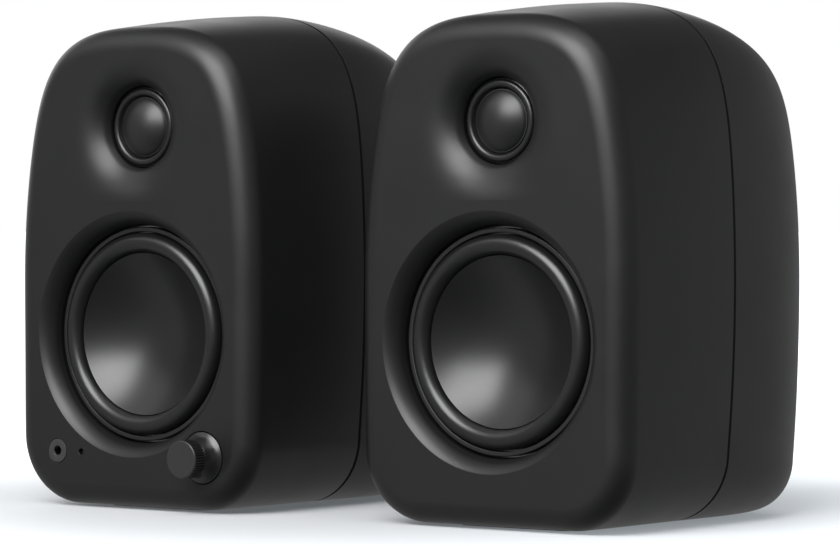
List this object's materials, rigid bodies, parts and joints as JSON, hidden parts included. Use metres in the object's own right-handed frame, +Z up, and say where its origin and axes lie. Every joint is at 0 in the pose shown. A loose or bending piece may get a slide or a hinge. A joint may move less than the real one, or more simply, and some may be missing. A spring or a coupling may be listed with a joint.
{
  "type": "desktop speakers",
  "caption": "Powered desktop speaker with its passive partner: rounded black cabinets, woofer and dome tweeter in each, volume knob and headphone jack on one.",
  "frame": {"origin": "on the desk, under the centre of the bounding box of both cabinets", "axes": "+X to the right along the row of cabinets as a listener sees them, +Y from the front faces to the rear, +Z up"},
  "size_m": [0.292, 0.17, 0.1917],
  "materials": {
    "cabinet": "fine-grained matte black moulded plastic",
    "trim": "satin black plastic",
    "rubber": "matte black rubber",
    "surround_rubber": "smooth satin butyl rubber",
    "cone": "satin black pressed cone",
    "dome": "coated silk, satin",
    "tweeter_ring": "semi-gloss black plastic",
    "knob_plastic": "satin black plastic, finely ribbed side",
    "bezel_gloss": "polished black plastic",
    "steel": "zinc-plated pressed steel",
    "ferrite": "sintered ferrite",
    "copper": "enamelled copper wire on a former",
    "spider": "resin-stiffened cotton",
    "board": "green solder mask",
    "aluminium": "plain extruded",
    "panel_metal": "black powder coat",
    "red_plastic": "red moulded plastic",
    "light_pipe": "smoked clear plastic"
  },
  "bodies": {
    "active_cabinet": {"active_front_shell": "cabinet", "active_rear_shell": "cabinet", "active_seam_gasket": "rubber", "active_foot_front": "rubber", "active_foot_rear": "rubber", "active_woofer_trim_ring": "trim", "active_woofer_basket": "steel", "active_woofer_surround": "surround_rubber", "active_woofer_spider": "spider", "active_woofer_top_plate": "steel", "active_woofer_magnet": "ferrite", "active_woofer_yoke": "steel", "active_tweeter_frame": "tweeter_ring", "active_tweeter_motor": "steel", "active_port_tube": "trim", "active_terminal_block": "trim", "active_knob_bezel": "bezel_gloss", "active_encoder_body": "steel", "active_headphone_jack": "trim", "active_led_light_pipe": "light_pipe", "active_control_board": "board", "active_rear_panel": "panel_metal", "active_amp_board": "board", "active_heatsink": "aluminium", "active_dc_socket": "trim", "active_usb_socket": "steel", "active_rca_block": "trim"},
    "active_cone_assembly": {"active_woofer_cone": "cone", "active_woofer_voice_coil": "copper"},
    "active_dome_assembly": {"active_tweeter_dome": "dome"},
    "knob_carrier": {"active_encoder_plunger": "trim"},
    "volume_knob": {"active_knob": "knob_plastic", "active_encoder_shaft": "aluminium"},
    "active_positive_lever": {"active_lever_positive": "red_plastic"},
    "active_negative_lever": {"active_lever_negative": "trim"},
    "passive_cabinet": {"passive_front_shell": "cabinet", "passive_rear_shell": "cabinet", "passive_seam_gasket": "rubber", "passive_foot_front": "rubber", "passive_foot_rear": "rubber", "passive_woofer_trim_ring": "trim", "passive_woofer_basket": "steel", "passive_woofer_surround": "surround_rubber", "passive_woofer_spider": "spider", "passive_woofer_top_plate": "steel", "passive_woofer_magnet": "ferrite", "passive_woofer_yoke": "steel", "passive_tweeter_frame": "tweeter_ring", "passive_tweeter_motor": "steel", "passive_port_tube": "trim", "passive_terminal_block": "trim", "passive_crossover_board": "board", "passive_crossover_capacitor": "trim"},
    "passive_cone_assembly": {"passive_woofer_cone": "cone", "passive_woofer_voice_coil": "copper"},
    "passive_dome_assembly": {"passive_tweeter_dome": "dome"},
    "passive_positive_lever": {"passive_lever_positive": "red_plastic"},
    "passive_negative_lever": {"passive_lever_negative": "trim"}
  },
  "joints": [
    {"name": "passive_cabinet_place", "type": "slide", "parent": "active_cabinet", "child": "passive_cabinet", "axis": [1, 0, 0], "range_m": [-0.03, 0.4]},
    {"name": "active_cone_travel", "type": "slide", "parent": "active_cabinet", "child": "active_cone_assembly", "axis": [0, -1, 0], "range_m": [-0.0025, 0.0025], "stiffness_N_per_m": 1500, "deforming": ["active_woofer_surround", "active_woofer_spider"]},
    {"name": "active_dome_travel", "type": "slide", "parent": "active_cabinet", "child": "active_dome_assembly", "axis": [0, -1, 0], "range_m": [-0.0003, 0.0003], "stiffness_N_per_m": 1500},
    {"name": "active_positive_lever_press", "type": "hinge", "parent": "active_cabinet", "child": "active_positive_lever", "pos_m": [-0.0752, 0.0693, 0.0473], "axis": [-1, 0, 0], "range_deg": [0, 15], "stiffness_Nm_per_rad": 0.1},
    {"name": "active_negative_lever_press", "type": "hinge", "parent": "active_cabinet", "child": "active_negative_lever", "pos_m": [-0.0902, 0.0693, 0.0473], "axis": [-1, 0, 0], "range_deg": [0, 15], "stiffness_Nm_per_rad": 0.1},
    {"name": "passive_cone_travel", "type": "slide", "parent": "passive_cabinet", "child": "passive_cone_assembly", "axis": [0, -1, 0], "range_m": [-0.0025, 0.0025], "stiffness_N_per_m": 1500, "deforming": ["passive_woofer_surround", "passive_woofer_spider"]},
    {"name": "passive_dome_travel", "type": "slide", "parent": "passive_cabinet", "child": "passive_dome_assembly", "axis": [0, -1, 0], "range_m": [-0.0003, 0.0003], "stiffness_N_per_m": 1500},
    {"name": "passive_positive_lever_press", "type": "hinge", "parent": "passive_cabinet", "child": "passive_positive_lever", "pos_m": [0.0902, 0.074, 0.0473], "axis": [-1, 0, 0], "range_deg": [0, 15], "stiffness_Nm_per_rad": 0.1},
    {"name": "passive_negative_lever_press", "type": "hinge", "parent": "passive_cabinet", "child": "passive_negative_lever", "pos_m": [0.0752, 0.074, 0.0473], "axis": [-1, 0, 0], "range_deg": [0, 15], "stiffness_Nm_per_rad": 0.1},
    {"name": "knob_push", "type": "slide", "parent": "active_cabinet", "child": "knob_carrier", "axis": [0, 1, 0], "range_m": [0, 0.0005], "stiffness_N_per_m": 2000},
    {"name": "knob_turn", "type": "hinge", "parent": "knob_carrier", "child": "volume_knob", "pos_m": [-0.0467, -0.0727, 0.0215], "axis": [0, 1, 0], "continuous": true}
  ]
}
